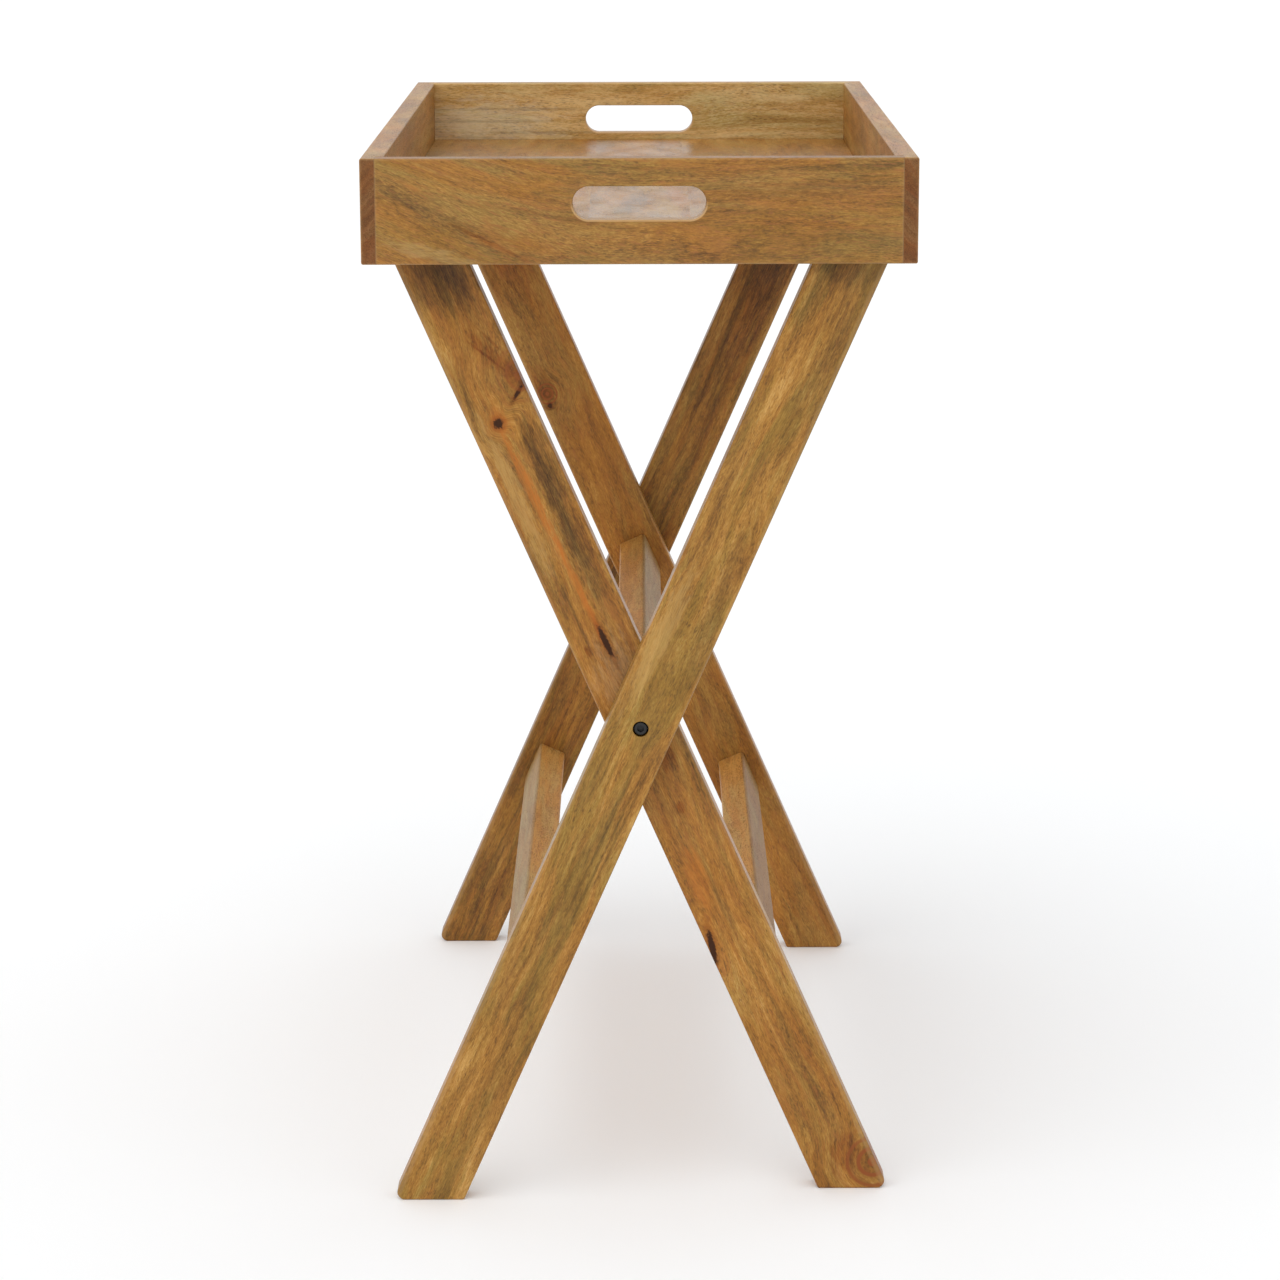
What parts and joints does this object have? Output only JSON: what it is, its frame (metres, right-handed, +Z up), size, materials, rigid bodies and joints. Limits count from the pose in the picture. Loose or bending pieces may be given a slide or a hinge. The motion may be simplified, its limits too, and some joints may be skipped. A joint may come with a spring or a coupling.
{
  "type": "folding tray table",
  "caption": "Folding tray table: a lift-off wooden tray with handle holes in both ends, on a scissor-folding X stand of straight legs joined by cross rails.",
  "frame": {"origin": "on the ground, under the middle of the tray", "axes": "+Z up, X across the short side of the tray and the way the legs splay, Y along the tray and the pivot bolts"},
  "size_m": [0.4, 0.7, 0.8],
  "materials": {
    "tray_wood": "satin lacquer",
    "floor_wood": "satin lacquer",
    "stand_wood": "satin lacquer",
    "dowel_beech": "raw",
    "pin_steel": "bright",
    "black_steel": "black oxide",
    "zinc_steel": "zinc plated",
    "spacer_nylon": "matte"
  },
  "bodies": {
    "outer_frame": {"outer_leg_front": "stand_wood", "outer_leg_back": "stand_wood", "outer_rail": "stand_wood", "outer_rail_dowels": "dowel_beech"},
    "inner_frame": {"inner_leg_front": "stand_wood", "inner_leg_back": "stand_wood", "pivot_rail": "stand_wood", "inner_rail": "stand_wood", "pivot_rail_dowels": "dowel_beech", "inner_rail_dowels": "dowel_beech", "pivot_bolt_front": "black_steel", "pivot_bolt_back": "black_steel", "head_washer_front": "black_steel", "head_washer_back": "black_steel", "spacer_washer_front": "spacer_nylon", "spacer_washer_back": "spacer_nylon", "cross_nut_front": "zinc_steel", "cross_nut_back": "zinc_steel"},
    "tray": {"tray_end_front": "tray_wood", "tray_end_back": "tray_wood", "tray_side_left": "tray_wood", "tray_side_right": "tray_wood", "floor_board_1": "floor_wood", "floor_board_2": "floor_wood", "floor_board_3": "floor_wood", "floor_board_4": "floor_wood", "floor_board_5": "floor_wood", "corner_pins": "pin_steel"}
  },
  "joints": [
    {"name": "stand_fold", "type": "hinge", "parent": "outer_frame", "child": "inner_frame", "pos_m": [0, 0, 0.374], "axis": [0, 1, 0], "range_deg": [0, 36]},
    {"name": "tray_lift", "type": "slide", "parent": "outer_frame", "child": "tray", "axis": [0, 0, 1], "range_m": [0, 0.22]}
  ],
  "couplings": [
    {"joint": "tray_lift", "follows": "stand_fold", "m_per_rad": 0.35}
  ]
}
